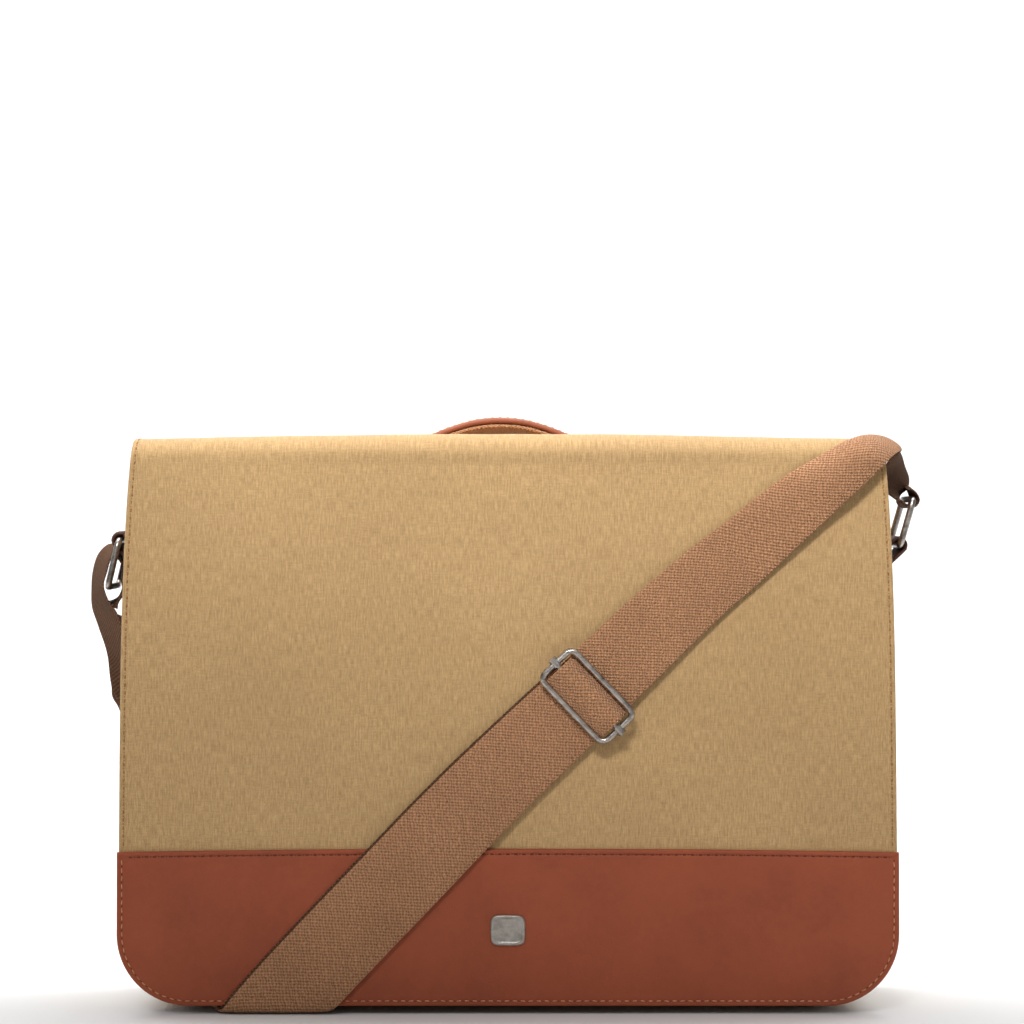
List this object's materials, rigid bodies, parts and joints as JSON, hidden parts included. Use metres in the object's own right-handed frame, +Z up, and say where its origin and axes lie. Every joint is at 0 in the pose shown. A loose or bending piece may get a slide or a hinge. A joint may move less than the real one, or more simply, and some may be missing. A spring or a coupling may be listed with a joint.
{
  "type": "satchel bag",
  "caption": "Canvas and leather messenger satchel with a full-length hinged flap, a top handle and an adjustable webbing strap.",
  "frame": {"origin": "centre of the underside of the base, between front and back panels", "axes": "+X to the wearer's left as the bag's front is looked at, that is to the right of the view; -Y out of the front; +Z up"},
  "size_m": [0.4134, 0.1033, 0.2952],
  "materials": {
    "canvas": "coarse woven cotton canvas, sandy tan",
    "lining": "plain woven lining",
    "leather": "pull-up leather, red-brown, matt to satin",
    "handle_leather": "pull-up leather, orange-brown, matt to satin",
    "dark_leather": "dark brown leather",
    "webbing": "coarse brown cotton webbing",
    "webbing_inner": "coarse brown cotton webbing, shaded layer",
    "metal": "antique nickel, satin",
    "board": "dark stiff board",
    "zip_tape": "woven zip tape"
  },
  "bodies": {
    "bag": {"front_panel": "canvas", "back_panel": "canvas", "gusset_left": "canvas", "gusset_right": "canvas", "base_panel": "canvas", "base_stiffener": "board", "lining_front": "lining", "lining_back": "lining", "lining_left": "lining", "lining_right": "lining", "lining_base": "lining", "mouth_binding": "leather", "piping_front": "leather", "piping_back": "leather", "front_slip_pocket": "canvas", "inner_slip_pocket": "lining", "laptop_divider": "lining", "zip_pocket_bag": "lining", "zip_tape": "zip_tape", "zip_teeth": "metal", "magnet_sockets": "metal", "magnet_backing": "metal", "tab_left": "dark_leather", "tab_right": "dark_leather", "tab_patches": "leather", "tab_rivets": "metal", "flap_seam_tape": "leather", "strap_left_drop": "webbing"},
    "flap": {"flap_canvas": "canvas", "flap_lining": "lining", "flap_leather_band": "leather", "flap_seam_cord": "canvas", "magnet_studs": "metal", "magnet_washers": "metal", "emblem_plate": "metal", "emblem_washer": "metal", "handle_leather": "handle_leather", "handle_webbing": "webbing", "handle_rivets": "metal", "handle_washers": "metal", "strap_upper": "webbing", "strap_lower": "webbing", "strap_return": "webbing_inner", "strap_fold": "webbing", "strap_hidden_run": "webbing", "strap_right_corner": "webbing"},
    "ring_left": {"ring_left": "metal", "strap_left_end": "webbing"},
    "ring_right": {"ring_right": "metal", "strap_right_end": "webbing"},
    "slider": {"slider_frame": "metal", "slider_bar": "metal", "slider_webbing_loop": "webbing"},
    "zip_slider": {"zip_slider": "metal"},
    "zip_pull": {"zip_pull": "metal"}
  },
  "joints": [
    {"name": "flap_hinge", "type": "hinge", "parent": "bag", "child": "flap", "pos_m": [0, 0.038, 0.271], "axis": [-1, 0, 0], "range_deg": [0, 110]},
    {"name": "ring_left_hinge", "type": "hinge", "parent": "bag", "child": "ring_left", "pos_m": [-0.193, -0.004, 0.231], "axis": [0, 1, 0], "range_deg": [0, 50]},
    {"name": "ring_right_hinge", "type": "hinge", "parent": "bag", "child": "ring_right", "pos_m": [0.1945, -0.004, 0.2285], "axis": [0, 1, 0], "range_deg": [0, 50]},
    {"name": "slider_slide", "type": "slide", "parent": "flap", "child": "slider", "axis": [0.7218, 0, 0.6921], "range_m": [-0.06, 0.06]},
    {"name": "zip_slide", "type": "slide", "parent": "bag", "child": "zip_slider", "axis": [1, 0, 0], "range_m": [0, 0.132]},
    {"name": "zip_pull_swing", "type": "hinge", "parent": "zip_slider", "child": "zip_pull", "pos_m": [-0.066, 0.00795, 0.1995], "axis": [1, 0, 0], "range_deg": [-80, 0]}
  ]
}
